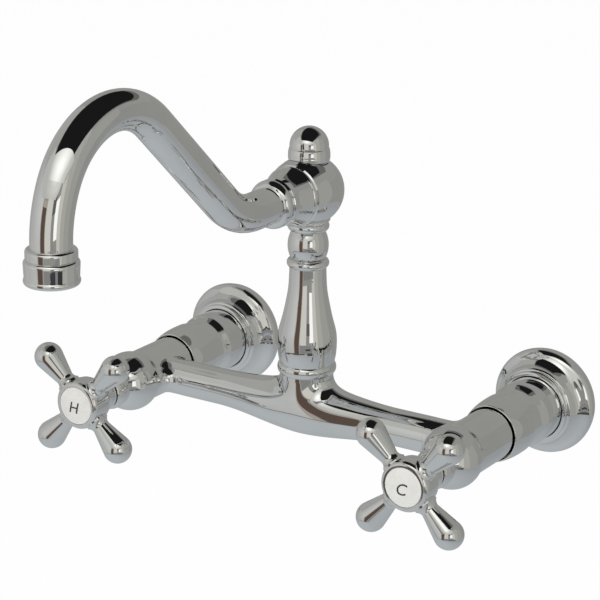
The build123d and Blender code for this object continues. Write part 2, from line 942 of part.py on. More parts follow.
for name, side in sides.items():
    pieces = {
        "flange": flange(),
        "flange_o_ring": flange_o_ring(),
        "inlet_shank": inlet_shank(),
        "union_washer": union_washer(),
        "retaining_ring": retaining_ring(),
        "coupling_nut": coupling_nut(),
        "bonnet_ring": bonnet_ring(),
        "cartridge_body": cartridge_body(side),
        "cartridge_o_ring": cartridge_o_ring(),
        "seat_seal": seat_seal(),
        "fixed_disc": fixed_disc(),
        "moving_disc": moving_disc(),
        "stem": stem(side),
        "stem_o_ring": stem_o_ring(),
        "stem_clip": stem_clip(),
        "handle": handle(),
        "index_button": index_button(),
        "handle_screw": handle_screw(),
    }
    for piece, shape in pieces.items():
        save(f"{name}_{piece}", leg_frame(side) * shape)
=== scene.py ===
"""Wall-mounted bridge faucet in its finishes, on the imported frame, in a plain pale studio."""

import logging
from dataclasses import dataclass, field
from enum import Enum
from math import cos, exp, hypot, log1p, pi, radians, sin, sqrt, tan

import bmesh
import bpy
from bmesh.types import BMEdge, BMesh, BMVert
from bpy.types import Material, Node, NodeTree, Object
from bpy.types import NodeSocket as Socket
from mathutils import Matrix, Vector


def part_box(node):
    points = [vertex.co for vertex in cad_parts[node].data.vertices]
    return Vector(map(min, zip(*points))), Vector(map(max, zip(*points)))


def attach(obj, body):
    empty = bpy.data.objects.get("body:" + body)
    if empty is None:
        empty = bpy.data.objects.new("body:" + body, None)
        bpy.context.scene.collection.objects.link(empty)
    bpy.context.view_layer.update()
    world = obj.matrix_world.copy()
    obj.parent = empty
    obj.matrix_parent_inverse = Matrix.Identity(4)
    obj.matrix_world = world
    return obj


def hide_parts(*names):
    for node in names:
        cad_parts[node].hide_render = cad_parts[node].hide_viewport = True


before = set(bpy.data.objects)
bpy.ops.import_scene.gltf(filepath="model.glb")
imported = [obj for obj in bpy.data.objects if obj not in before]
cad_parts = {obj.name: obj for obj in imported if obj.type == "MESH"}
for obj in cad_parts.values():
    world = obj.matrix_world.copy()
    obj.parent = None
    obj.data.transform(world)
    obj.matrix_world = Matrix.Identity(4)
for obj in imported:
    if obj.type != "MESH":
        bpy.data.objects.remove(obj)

log = logging.getLogger("faucet")
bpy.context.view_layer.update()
STUDIO_EYE = (0.0, -0.10, 0.05)
MERGE_GAP = 1e-7
SAME_PLACE = 1e-5
ON_AXIS = 1e-6
MM_PER_METRE = 1000
FULL_TURN = 360
ROUND_STEPS = 96
INLET_REACH = 0.1016

Colour = tuple[float, float, float]
Place = tuple[float, float, float]
Pair = tuple[float, float]
Outline = tuple[Pair, ...]


class Side(Enum):
    """The two valves, named for the water they carry."""

    HOT = -1
    COLD = 1

    @property
    def word(self) -> str:
        """Name that the side's pieces start with."""
        return self.name.lower()


class Slot(Enum):
    """Material slots of the record, which each finish names."""

    CHROME = "polished_chrome"
    PORCELAIN = "porcelain"
    BRASS = "brass"
    RUBBER = "rubber"
    NYLON = "nylon"
    FIBRE = "fibre"
    DISC = "disc_ceramic"
    STEEL = "steel"


def add_object(name: str, data: bpy.types.ID) -> Object:
    """Put a new object into the scene.

    Args:
        name: Name of the object.
        data: Its mesh, curve, camera or light.

    Returns:
        The object, at the origin.
    """
    piece = bpy.data.objects.new(name, data)
    bpy.context.scene.collection.objects.link(piece)
    return piece


def mesh_object(name: str, form: BMesh) -> Object:
    """Make an object of a finished form, and free the form.

    Args:
        name: Name of the mesh and the object.
        form: The form.

    Returns:
        The object.
    """
    mesh = bpy.data.meshes.new(name)
    form.to_mesh(mesh)
    form.free()
    return add_object(mesh.name, mesh)


def shade(form: BMesh, crease: float) -> None:
    """Shade a form smooth between its creases.

    Args:
        form: The form.
        crease: Angle between two faces, in radians, past which their edge stays sharp.
    """
    for face in form.faces:
        face.smooth = True
        face.material_index = 0
    for edge in form.edges:
        if len(edge.link_faces) == 2 and edge.calc_face_angle() > crease:
            edge.smooth = False


class NodeSheet:
    """Adds and joins shader nodes in one node tree."""

    MIX_FACTOR, MIX_FIRST, MIX_SECOND, MIX_RESULT = 0, 6, 7, 2

    def __init__(self, tree: NodeTree) -> None:
        """Start on an empty tree.

        Args:
            tree: The node tree of a material, a world or a group.
        """
        self.tree = tree
        tree.nodes.clear()

    def add(self, kind: str, inputs: dict[str, object] | None = None,
            **settings: object) -> Node:
        """Add one node.

        Args:
            kind: The node's type after ShaderNode, such as Math.
            inputs: Values of its input sockets, by name.
            **settings: Properties of the node, by name.

        Returns:
            The new node.
        """
        node = self.tree.nodes.new(f"ShaderNode{kind}")
        for name, value in settings.items():
            setattr(node, name, value)
        for name, value in (inputs or {}).items():
            node.inputs[name].default_value = value
        return node

    def join(self, source: Socket, target: Socket) -> None:
        """Link an output socket to an input socket."""
        self.tree.links.new(source, target)

    def place(self) -> Socket:
        """The piece's own Object coordinate."""
        return self.add("TexCoord").outputs["Object"]

    def show(self, source: Socket, kind: str = "OutputMaterial") -> None:
        """Link the finished shader to a new output node."""
        self.join(source, self.add(kind).inputs["Surface"])

    def noise(self, vector: Socket, scale: float, detail: float = 2.0) -> Socket:
        """Noise over a coordinate.

        Args:
            vector: Coordinate that the noise reads.
            scale: Features per metre.
            detail: Octaves of the noise.

        Returns:
            The noise value, about 0 to 1.
        """
        node = self.add("TexNoise", {"Scale": scale, "Detail": detail})
        self.join(vector, node.inputs["Vector"])
        return node.outputs["Fac"]

    def remap(self, value: Socket, low: float, high: float,
              new_low: float, new_high: float) -> Socket:
        """Map a value from one range to another, held at the ends.

        Args:
            value: Socket to map.
            low: Start of the old range.
            high: End of the old range.
            new_low: Start of the new range.
            new_high: End of the new range.

        Returns:
            The mapped value.
        """
        ends = {"From Min": low, "From Max": high, "To Min": new_low, "To Max": new_high}
        node = self.add("MapRange", ends)
        self.join(value, node.inputs["Value"])
        return node.outputs["Result"]

    def effect(self, group: NodeTree, **values: float) -> Node:
        """Put a shared effect into the material.

        Args:
            group: The effect.
            **values: The effect's inputs, by name.

        Returns:
            The group's node.
        """
        return self.add("Group", values, node_tree=group)

    def bump(self, shader: Node, height: Socket, depth: float) -> None:
        """Feed a height into a shader's normal.

        Args:
            shader: The Principled shader.
            height: Height, 0 to 1.
            depth: Depth of the relief in metres.
        """
        node = self.add("Bump", {"Strength": 1.0, "Distance": depth})
        self.join(height, node.inputs["Height"])
        self.join(node.outputs["Normal"], shader.inputs["Normal"])

    def math(self, operation: str, *values: Socket | float) -> Socket:
        """One arithmetic step on sockets or numbers.

        Args:
            operation: The Math node's operation.
            *values: Its operands.

        Returns:
            The result.
        """
        node = self.add("Math", operation=operation)
        for socket, value in zip(node.inputs, values):
            if isinstance(value, Socket):
                self.join(value, socket)
            else:
                socket.default_value = value
        return node.outputs["Value"]

    def tint(self, mask: Socket, first: Colour, second: Colour) -> Socket:
        """Blend two colours by a mask.

        Args:
            mask: 0 gives the first colour, 1 the second.
            first: Linear colour.
            second: Linear colour.

        Returns:
            The blended colour.
        """
        node = self.add("Mix", data_type="RGBA")
        node.inputs[self.MIX_FIRST].default_value = (*first, 1.0)
        node.inputs[self.MIX_SECOND].default_value = (*second, 1.0)
        self.join(mask, node.inputs[self.MIX_FACTOR])
        return node.outputs[self.MIX_RESULT]


def shader_group(name: str, inputs: dict[str, float], outputs: tuple[str, ...]) -> tuple[
        NodeTree, NodeSheet, Node, Node]:
    """Start a shader group with named value sockets.

    Args:
        name: Name of the group.
        inputs: Each input's name and its default.
        outputs: Names of the outputs.

    Returns:
        The group, its sheet, its input node and its output node.
    """
    tree = bpy.data.node_groups.new(name, "ShaderNodeTree")
    for word, default in inputs.items():
        socket = tree.interface.new_socket(name=word, in_out="INPUT", socket_type="NodeSocketFloat")
        socket.default_value = default
    for word in outputs:
        tree.interface.new_socket(name=word, in_out="OUTPUT", socket_type="NodeSocketFloat")
    sheet = NodeSheet(tree)
    return tree, sheet, tree.nodes.new("NodeGroupInput"), tree.nodes.new("NodeGroupOutput")


class Effects:
    """Shader groups that several finishes share, built once."""

    def __init__(self) -> None:
        """Build every group."""
        self.wipe = self._wipe_marks()
        self.ripple = self._ripple()

    def _wipe_marks(self) -> NodeTree:
        """Long fine wiping marks with broad hazy patches, as a roughness mask.

        Returns:
            The group.
        """
        slant, drawn_out = (0.5, 0.3, 0.9), (1.0, 0.06, 1.0)
        fine_span, broad_span = (0.52, 0.72), (0.42, 0.68)
        fine_share, broad_share = 0.6, 0.4
        tree, sheet, given, out = shader_group(
            "wipe_marks", {"Fineness": 900.0, "Patch": 45.0}, ("Mask",))
        coordinate = sheet.place()
        stretch = sheet.add("Mapping", {"Rotation": slant, "Scale": drawn_out})
        sheet.join(coordinate, stretch.inputs["Vector"])
        lines = sheet.add("TexNoise")
        sheet.join(stretch.outputs["Vector"], lines.inputs["Vector"])
        sheet.join(given.outputs["Fineness"], lines.inputs["Scale"])
        patches = sheet.add("TexNoise")
        sheet.join(coordinate, patches.inputs["Vector"])
        sheet.join(given.outputs["Patch"], patches.inputs["Scale"])
        fine = sheet.remap(lines.outputs["Fac"], *fine_span, 0.0, 1.0)
        broad = sheet.remap(patches.outputs["Fac"], *broad_span, 0.0, 1.0)
        mixed = sheet.math("MULTIPLY", fine, broad)
        marks = sheet.math("MULTIPLY", mixed, fine_share)
        mask = sheet.math("ADD", marks, sheet.math("MULTIPLY", broad, broad_share))
        sheet.join(mask, out.inputs["Mask"])
        return tree

    def _ripple(self) -> NodeTree:
        """Slow waviness that hand polishing leaves in plated metal, as a height.

        Returns:
            The group.
        """
        tree, sheet, given, out = shader_group("polish_ripple", {"Scale": 60.0}, ("Height",))
        coordinate = sheet.place()
        waves = sheet.add("TexNoise", {"Detail": 1.0})
        sheet.join(coordinate, waves.inputs["Vector"])
        sheet.join(given.outputs["Scale"], waves.inputs["Scale"])
        sheet.join(waves.outputs["Fac"], out.inputs["Height"])
        return tree


@dataclass(frozen=True)
class Finish:
    """A surface finish.

    Attributes:
        name: Name of the material.
        slot: Material slot of the record; not used.
    """

    name: str
    slot: Slot

    def start(self, metal: float = 0.0) -> tuple[Material, NodeSheet, Node]:
        """New material with its shader and output.

        Args:
            metal: 1 for a metal.

        Returns:
            The material, its node sheet and its Principled shader.
        """
        material = bpy.data.materials.new(self.name)
        material.use_nodes = True
        sheet = NodeSheet(material.node_tree)
        shader = sheet.add("BsdfPrincipled", {"Metallic": metal})
        sheet.show(shader.outputs["BSDF"])
        return material, sheet, shader

    def build(self, effects: Effects) -> Material:
        """Make the material."""
        raise NotImplementedError


@dataclass(frozen=True)
class PolishedChrome(Finish):
    """Bright chrome plate over brass.

    Attributes:
        clean: Colour of the clean plate.
        hazed: Colour where it is hazed by wiping.
        ripple_scale: Waves per metre of the polishing ripple.
        ripple_depth: Depth of the ripple in metres.
        smooth: Lowest roughness.
        haze: Highest roughness.
    """

    clean: Colour = (0.80, 0.805, 0.80)
    hazed: Colour = (0.74, 0.745, 0.75)
    ripple_scale: float = 55.0
    ripple_depth: float = 0.00004
    smooth: float = 0.015
    haze: float = 0.07

    def build(self, effects: Effects) -> Material:
        """Make the material.

        Args:
            effects: The shared shader groups.

        Returns:
            The material.
        """
        material, sheet, shader = self.start(metal=1.0)
        mask = sheet.effect(effects.wipe).outputs["Mask"]
        sheet.join(sheet.tint(mask, self.clean, self.hazed), shader.inputs["Base Color"])
        sheet.join(sheet.remap(mask, 0.0, 1.0, self.smooth, self.haze), shader.inputs["Roughness"])
        ripple = sheet.effect(effects.ripple, Scale=self.ripple_scale)
        sheet.bump(shader, ripple.outputs["Height"], self.ripple_depth)
        return material


@dataclass(frozen=True)
class GlazedPorcelain(Finish):
    """Warm white body under a clear glaze.

    Attributes:
        body: Colour of the body.
        pooled: Colour where the glaze is thick.
        cloud_scale: Clouds of thick glaze per metre.
        rough: Roughness where the glaze is thin and where it is thick.
        coat: Weight and roughness of the clear coat.
        wave_scale: Waves per metre of the glaze's surface.
        glaze_depth: Depth of the waves in metres.
    """

    body: Colour = (0.70, 0.695, 0.665)
    pooled: Colour = (0.655, 0.648, 0.61)
    cloud_scale: float = 160.0
    rough: Pair = (0.06, 0.12)
    coat: Pair = (0.6, 0.03)
    wave_scale: float = 300.0
    glaze_depth: float = 0.00002

    def build(self, effects: Effects) -> Material:
        """Make the material.

        Args:
            effects: The shared shader groups; not used.

        Returns:
            The material.
        """
        material, sheet, shader = self.start()
        coordinate = sheet.place()
        mask = sheet.remap(sheet.noise(coordinate, self.cloud_scale, 3.0), 0.4, 0.7, 0.0, 1.0)
        sheet.join(sheet.tint(mask, self.body, self.pooled), shader.inputs["Base Color"])
        sheet.join(sheet.remap(mask, 0.0, 1.0, *self.rough), shader.inputs["Roughness"])
        shader.inputs["Coat Weight"].default_value = self.coat[0]
        shader.inputs["Coat Roughness"].default_value = self.coat[1]
        sheet.bump(shader, sheet.noise(coordinate, self.wave_scale, 1.0), self.glaze_depth)
        return material


@dataclass(frozen=True)
class TurnedBrass(Finish):
    """Unplated brass with fine turning marks.

    Attributes:
        bright: Colour of the clean metal.
        dull: Colour where it is handled.
        stretch: How the marks are drawn out along each axis.
        mark_scale: Marks per metre.
        patch_scale: Dull patches per metre.
        rough: Lowest and highest roughness.
        mark_depth: Depth of the marks in metres.
    """

    bright: Colour = (0.78, 0.56, 0.24)
    dull: Colour = (0.55, 0.36, 0.14)
    stretch: Place = (0.05, 1.0, 0.05)
    mark_scale: float = 2400.0
    patch_scale: float = 120.0
    rough: Pair = (0.18, 0.34)
    mark_depth: float = 0.00001

    def build(self, effects: Effects) -> Material:
        """Make the material.

        Args:
            effects: The shared shader groups.

        Returns:
            The material.
        """
        material, sheet, shader = self.start(metal=1.0)
        coordinate = sheet.place()
        stretch = sheet.add("Mapping", {"Scale": self.stretch})
        sheet.join(coordinate, stretch.inputs["Vector"])
        lines = sheet.noise(stretch.outputs["Vector"], self.mark_scale)
        mask = sheet.effect(effects.wipe, Patch=self.patch_scale).outputs["Mask"]
        sheet.join(sheet.tint(mask, self.bright, self.dull), shader.inputs["Base Color"])
        sheet.join(sheet.remap(lines, 0.3, 0.7, *self.rough), shader.inputs["Roughness"])
        sheet.bump(shader, lines, self.mark_depth)
        return material


@dataclass(frozen=True)
class Plain(Finish):
    """Moulded or pressed stuff with a grain: rubber, nylon, fibre, ceramic or steel.

    Attributes:
        light: Lighter colour of the grain.
        dark: Darker colour of the grain.
        metal: 1 for a metal.
        rough: Lowest and highest roughness.
        grain: Grain per metre.
        relief: Depth of the grain in metres.
    """

    light: Colour = (0.5, 0.5, 0.5)
    dark: Colour = (0.4, 0.4, 0.4)
    metal: float = 0.0
    rough: Pair = (0.4, 0.6)
    grain: float = 900.0
    relief: float = 0.00002

    def build(self, effects: Effects) -> Material:
        """Make the material.

        Args:
            effects: The shared shader groups; not used.

        Returns:
            The material.
        """
        material, sheet, shader = self.start(self.metal)
        speckle = sheet.noise(sheet.place(), self.grain, 4.0)
        sheet.join(sheet.tint(speckle, self.dark, self.light), shader.inputs["Base Color"])
        sheet.join(sheet.remap(speckle, 0.3, 0.7, *self.rough), shader.inputs["Roughness"])
        sheet.bump(shader, speckle, self.relief)
        return material


class Finishes:
    """Every finish of the faucet, built once."""

    def __init__(self, effects: Effects) -> None:
        """Build the materials.

        Args:
            effects: The shared shader groups.
        """
        chrome, porcelain = Slot.CHROME, Slot.PORCELAIN
        self.kinds: dict[str, Finish] = {
            "cast": PolishedChrome("cast_chrome", chrome),
            "turned": PolishedChrome("turned_chrome", chrome, ripple_scale=35.0,
                                     ripple_depth=0.00002),
            "drawn": PolishedChrome("tube_chrome", chrome, ripple_scale=28.0,
                                    ripple_depth=0.00003),
            "porcelain": GlazedPorcelain("glazed_porcelain", porcelain),
            "brass": TurnedBrass("turned_brass", Slot.BRASS),
            "rubber": Plain("black_rubber", Slot.RUBBER, (0.035, 0.035, 0.037),
                            (0.015, 0.015, 0.016), rough=(0.45, 0.7)),
            "nylon": Plain("natural_nylon", Slot.NYLON, (0.72, 0.71, 0.66),
                           (0.62, 0.60, 0.54), rough=(0.35, 0.5)),
            "fibre": Plain("red_fibre", Slot.FIBRE, (0.34, 0.08, 0.05),
                           (0.20, 0.04, 0.03), rough=(0.6, 0.8), grain=1500.0),
            "disc": Plain("lapped_ceramic", Slot.DISC, (0.76, 0.76, 0.74),
                          (0.68, 0.68, 0.67), rough=(0.15, 0.25)),
            "steel": Plain("stainless", Slot.STEEL, (0.60, 0.60, 0.59),
                           (0.48, 0.48, 0.47), metal=1.0, rough=(0.2, 0.35)),
            "ink": Plain("fired_enamel", porcelain, (0.03, 0.03, 0.035),
                         (0.015, 0.015, 0.018), rough=(0.2, 0.3)),
        }
        self.made = {word: kind.build(effects) for word, kind in self.kinds.items()}

    def dress(self, piece: Object, kind: str) -> None:
        """Give a piece one finish all over.

        Args:
            piece: The object.
            kind: Short name of the finish.
        """
        piece.data.materials.clear()
        piece.data.materials.append(self.made[kind])


@dataclass
class FrameDress:
    """Finishes of the CAD nodes.

    Attributes:
        centre: Short name of the finish of each node on the middle line.
        sided: The same for each node that both valves have, without its side.
    """

    centre: dict[str, str] = field(default_factory=lambda: {
        "bridge_body": "cast", "column": "turned", "column_barrel": "turned",
        "swivel_post": "brass", "post_o_rings": "rubber", "swivel_washer": "nylon",
        "crown_washer": "nylon", "finial": "turned", "spout_hub": "cast",
        "spout_collar": "turned", "spout_tube": "drawn", "outlet_ferrule": "turned",
        "aerator_housing": "turned", "aerator_insert": "nylon", "aerator_washer": "rubber",
    })
    sided: dict[str, str] = field(default_factory=lambda: {
        "flange": "turned", "flange_o_ring": "rubber", "inlet_shank": "turned",
        "union_washer": "fibre", "retaining_ring": "brass", "coupling_nut": "turned",
        "bonnet_ring": "turned", "cartridge_body": "brass", "cartridge_o_ring": "rubber",
        "seat_seal": "rubber", "fixed_disc": "disc", "moving_disc": "disc",
        "stem": "brass", "stem_o_ring": "rubber", "stem_clip": "steel", "handle": "cast",
        "index_button": "porcelain", "handle_screw": "steel",
    })

    def build(self, finishes: Finishes) -> None:
        """Dress every node.

        Args:
            finishes: The built finishes.
        """
        kinds = dict(self.centre)
        for side in Side:
            kinds.update({f"{side.word}_{piece}": kind for piece, kind in self.sided.items()})
        for node, kind in kinds.items():
            finishes.dress(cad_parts[node], kind)
            log.info("dressed %s in %s", node, kind)


@dataclass
class BridgeSkin:
    """The bridge casting, its boss drawn out of the two arms in one flowing surface.

    Attributes:
        reach: Half length of the part that is remade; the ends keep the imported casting.
        axis_y: Y of the column's axis.
        arm: Height above and below the middle and half width of the arms.
        swollen: The same three in the middle.
        swell_reach: Distance from the column where the swelling ends.
        boss_radius: Radius of the boss under the column, and its radius deep in the arms.
        boss_widening: Height where the boss starts to widen, and the rise that this takes.
        boss_top: Height of the boss's seat.
        bore: Radius of the boss's thread.
        waterway: Radius of the bore along the arms.
        flow: Softness of the joint towards the front and towards the arms.
        search: Least and greatest distance from the arms' axis searched for the surface.
        search_steps: Halvings of the search.
        head_room: How far past its seat the boss runs before it is cut, over the seat's height.
        grid: Faces along the arms and round them.
        spacing: Even and cubic share of the spacing along the arms, closer near the boss.
        key_scale: Fineness of the table of radii, along the arms and round them.
        crease: Angle of a sharp edge in radians.
    """

    reach: float = 0.077
    axis_y: float = -0.0844
    arm: Place = (0.0097, 0.0101, 0.0098)
    swollen: Place = (0.0127, 0.0149, 0.0144)
    swell_reach: float = 0.056
    boss_radius: Pair = (0.0135, 0.0095)
    boss_widening: Pair = (-0.006, 0.014)
    boss_top: float = 0.0176
    bore: float = 0.0095
    waterway: float = 0.0058
    flow: Pair = (0.0020, 0.0044)
    search: Pair = (0.004, 0.034)
    search_steps: int = 20
    head_room: float = 1.5
    grid: tuple[int, int] = (220, 180)
    spacing: Pair = (0.55, 0.45)
    key_scale: Pair = (1e8, 1e6)
    crease: float = 0.6

    def _depth(self, x: float, y: float, z: float) -> float:
        """Depth of a point below the flowing surface.

        Args:
            x: Distance from the column's axis along the arms.
            y: Distance in front of it.
            z: Height above the arms' middle.

        Returns:
            Depth, below 0 outside.
        """
        swell = cos(pi * x / (2 * self.swell_reach)) ** 2 if abs(x) < self.swell_reach else 0.0
        top, bottom, half = (low + (high - low) * swell
                             for low, high in zip(self.arm, self.swollen))
        semi = (top + bottom) / 2
        arm = (1 - hypot(y / half, (z - (top - bottom) / 2) / semi)) * min(half, semi)
        start, length = self.boss_widening
        rise = min(1.0, max(0.0, (z - start) / length))
        rise *= rise * (3 - 2 * rise)
        full, deep = self.boss_radius
        wide = deep + (full - deep) * rise
        level = hypot(x, y)
        boss = wide - hypot(level, min(0.0, z))
        ahead, along = self.flow
        soft = ahead + (along - ahead) * rise * (x / level) ** 2 if level > ON_AXIS else ahead
        return max(arm, boss) + soft * log1p(exp(-abs(arm - boss) / soft))

    def _radius(self, x: float, rise: float) -> float:
        """Distance from the arms' axis to the surface.

        Args:
            x: Place along the arms.
            rise: Sine of the direction's angle above the level.

        Returns:
            The radius, cut off above the boss's seat.
        """
        level = sqrt(max(0.0, 1 - rise ** 2))
        low, high = self.search
        if rise > 0:
            high = min(high, self.head_room * self.boss_top / rise)
        for _ in range(self.search_steps):
            middle = (low + high) / 2
            if self._depth(x, middle * level, middle * rise) > 0:
                low = middle
            else:
                high = middle
        return low

    def _flowing_part(self) -> BMesh:
        """Skin of the arms and the boss, open at its ends and at the thread.

        Returns:
            The form.
        """
        form = bmesh.new()
        faces_along, faces_round = self.grid
        bmesh.ops.create_grid(form, x_segments=faces_along, y_segments=faces_round, size=1.0)
        even, cubic = self.spacing
        known: dict[tuple[int, int], float] = {}
        for corner in form.verts:
            along, turn = corner.co.x, corner.co.y * pi
            x = self.reach * (even * along + cubic * along ** 3)
            rise = sin(turn)
            key = round(abs(x) * self.key_scale[0]), round(rise * self.key_scale[1])
            if key not in known:
                known[key] = self._radius(abs(x), rise)
            corner.co = (x, self.axis_y + known[key] * cos(turn), known[key] * rise)
        bmesh.ops.remove_doubles(form, verts=form.verts, dist=MERGE_GAP)
        cut = bmesh.ops.bisect_plane(
            form, geom=[*form.verts, *form.edges, *form.faces], dist=MERGE_GAP,
            plane_co=(0, 0, self.boss_top), plane_no=(0, 0, 1), clear_outer=True)
        rim = [part for part in cut["geom_cut"] if isinstance(part, BMEdge)]
        grown = bmesh.ops.extrude_edge_only(form, edges=rim)["geom"]
        for corner in (part for part in grown if isinstance(part, BMVert)):
            spread = Vector((corner.co.x, corner.co.y - self.axis_y))
            spread *= self.bore / spread.length
            corner.co = (spread.x, self.axis_y + spread.y, self.boss_top)
        bmesh.ops.recalc_face_normals(form, faces=form.faces)
        return form

    def _is_outer(self, centre: Vector) -> bool:
        """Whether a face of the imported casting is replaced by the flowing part.

        Args:
            centre: Middle of the face.

        Returns:
            True on the outside of the arms and the boss, and on the boss's seat.
        """
        if abs(centre.x) > self.reach:
            return False
        if abs(centre.z - self.boss_top) < SAME_PLACE:
            return True
        in_waterway = hypot(centre.y - self.axis_y, centre.z) < self.waterway
        off_axis = hypot(centre.x, centre.y - self.axis_y)
        in_thread = centre.z > 0 and off_axis < self.bore + SAME_PLACE
        return not in_waterway and not in_thread

    def build(self, finishes: Finishes) -> None:
        """Make the casting.

        Args:
            finishes: The built finishes.
        """
        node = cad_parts["bridge_body"]
        mesh = node.data.copy()
        mesh.name = "bridge_casting"
        mesh.transform(node.matrix_world)
        ends = bmesh.new()
        ends.from_mesh(mesh)
        for side in Side:
            bmesh.ops.bisect_plane(
                ends, geom=[*ends.verts, *ends.edges, *ends.faces], dist=MERGE_GAP,
                plane_co=(side.value * self.reach, 0, 0), plane_no=(1, 0, 0))
        outer = [face for face in ends.faces if self._is_outer(face.calc_center_median())]
        bmesh.ops.delete(ends, geom=outer, context="FACES")
        skin = self._flowing_part()
        middle = bpy.data.meshes.new("bridge_middle")
        skin.to_mesh(middle)
        skin.free()
        ends.from_mesh(middle)
        bpy.data.meshes.remove(middle)
        shade(ends, self.crease)
        ends.to_mesh(mesh)
        ends.free()
        piece = add_object(mesh.name, mesh)
        finishes.dress(piece, "cast")
        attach(piece, "root")
        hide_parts("bridge_body")
        log.info("made %s with %d faces", piece.name, len(mesh.polygons))


@dataclass(frozen=True)
class TurnedSkin:
    """A turned piece about a valve's axis, from smooth runs of outline with corners between.

    Attributes:
        node: Name of the CAD node, without its side.
        finish: Short name of its finish.
        runs: Outlines as radius and distance from the wall in millimetres, each smooth in itself.
        segments: Steps of the full turn.
        crease: Angle of a sharp edge in radians.
    """

    node: str
    finish: str
    runs: tuple[Outline, ...]
    segments: int = 160
    crease: float = 0.5

    def _smooth(self, run: Outline, steps: int = 8) -> list[Vector]:
        """Points along a smooth curve through a run.

        Args:
            run: The given points.
            steps: Points between two of them.

        Returns:
            The finer points, with the given ones among them.
        """
        points = [Vector(point) for point in run]
        if len(points) < 3:
            return points
        padded = [2 * points[0] - points[1], *points, 2 * points[-1] - points[-2]]
        line = []
        for before, first, last, after in zip(padded, padded[1:], padded[2:], padded[3:]):
            for index in range(steps):
                t = index / steps
                line.append(0.5 * (2 * first + (last - before) * t
                                   + (2 * before - 5 * first + 4 * last - after) * t ** 2
                                   + (3 * first - before - 3 * last + after) * t ** 3))
        return [*line, points[-1]]

    def build(self, side: Side, finishes: Finishes) -> None:
        """Make the piece of one valve.

        Args:
            side: The valve.
            finishes: The built finishes.
        """
        form = bmesh.new()
        line = [point for run in self.runs for point in self._smooth(run)]
        ends = [form.verts.new((point.x / MM_PER_METRE, -point.y / MM_PER_METRE, 0))
                for point in line]
        edges = [form.edges.new(pair) for pair in zip(ends, [*ends[1:], ends[0]])]
        bmesh.ops.spin(form, geom=[*ends, *edges], cent=(0, 0, 0), axis=(0, 1, 0),
                       dvec=(0, 0, 0), angle=radians(FULL_TURN), steps=self.segments,
                       use_merge=True)
        bmesh.ops.translate(form, vec=(side.value * INLET_REACH, 0, 0), verts=form.verts)
        bmesh.ops.recalc_face_normals(form, faces=form.faces)
        shade(form, self.crease)
        name = f"{side.word}_{self.node}"
        piece = mesh_object(f"{name}_skin", form)
        finishes.dress(piece, self.finish)
        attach(piece, "root")
        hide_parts(name)
        log.info("made %s", piece.name)


@dataclass
class WallFittings:
    """The pressed wall flange and the flared inlet shank of each valve.

    Attributes:
        flange: Flange, from its rim at the wall round its lip and back inside.
        shank: Shank, from its inlet end round its outside and back through its bores.
    """

    flange: TurnedSkin = TurnedSkin("flange", "turned", (
        ((28.3, 0.0), (28.9, 2.0), (29.2, 4.0), (28.95, 5.7), (28.3, 6.9), (27.1, 7.8),
         (25.6, 8.6), (24.1, 9.6), (22.8, 11.1), (21.8, 13.1), (21.3, 15.0)),
        ((21.1, 15.5), (20.6, 15.9), (20.0, 16.1)),
        ((19.8, 16.3), (19.8, 17.4), (19.6, 17.95), (19.0, 18.2)),
        ((17.8, 18.2), (17.6, 18.0)),
        ((17.6, 13.8), (20.4, 13.2)),
        ((21.3, 11.0), (23.2, 9.2), (25.4, 7.8), (27.3, 6.2), (28.0, 4.2), (27.7, 2.0),
         (27.1, 0.0)),
    ))
    shank: TurnedSkin = TurnedSkin("inlet_shank", "turned", (
        ((9.3, 3.0), (17.0, 3.0)),
        ((17.3, 3.3), (17.3, 14.4)),
        ((15.9, 14.4), (15.9, 16.8)),
        ((17.3, 16.8), (17.3, 20.0)),
        ((17.38, 24.0), (17.58, 29.0), (17.57, 32.4), (17.36, 33.5), (16.88, 34.6),
         (16.0, 36.8), (15.72, 37.9), (15.66, 39.4), (15.80, 43.0), (16.0, 47.6)),
        ((15.2, 47.6), (15.2, 55.6)),
        ((14.8, 56.0), (6.5, 56.0)),
        ((6.5, 18.0), (9.3, 18.0)),
    ))

    def build(self, finishes: Finishes) -> None:
        """Make the fittings of both valves.

        Args:
            finishes: The built finishes.
        """
        for side in Side:
            for skin in (self.flange, self.shank):
                skin.build(side, finishes)


